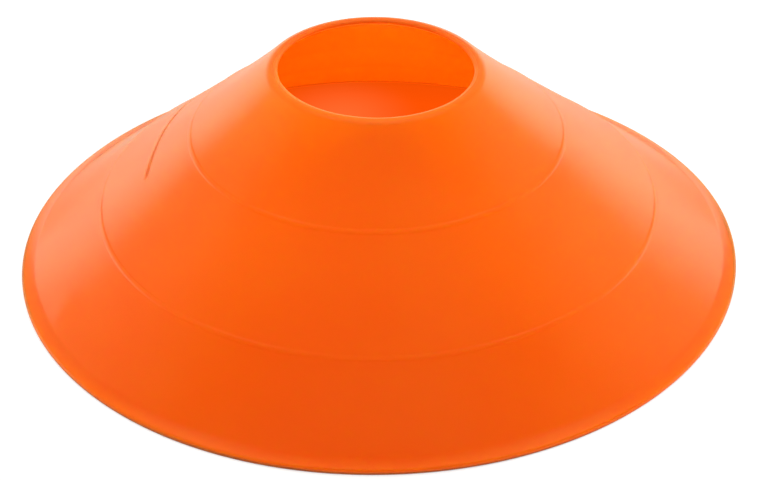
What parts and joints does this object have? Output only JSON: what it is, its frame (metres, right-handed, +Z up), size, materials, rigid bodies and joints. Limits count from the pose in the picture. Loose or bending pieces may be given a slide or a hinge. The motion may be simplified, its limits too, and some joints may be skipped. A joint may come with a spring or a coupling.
{
  "type": "training cone",
  "caption": "Low disc-shaped training cone: a thin hollow conical plastic shell with a round hole in its top, faint raised rings round its wall and a flat narrow brim to stand on.",
  "frame": {"origin": "on the ground plane under the middle of the cone, at the centre of the foot", "axes": "+Z up along the cone's axis of symmetry, from the foot towards the hole in the top; +X and +Y level, with -Y facing the picture's camera"},
  "size_m": [0.19, 0.19, 0.0557],
  "materials": {
    "shell_plastic": "translucent orange polyethylene, smooth semi-gloss moulded surface"
  },
  "bodies": {
    "root": {"cone_shell": "shell_plastic"}
  },
  "joints": []
}
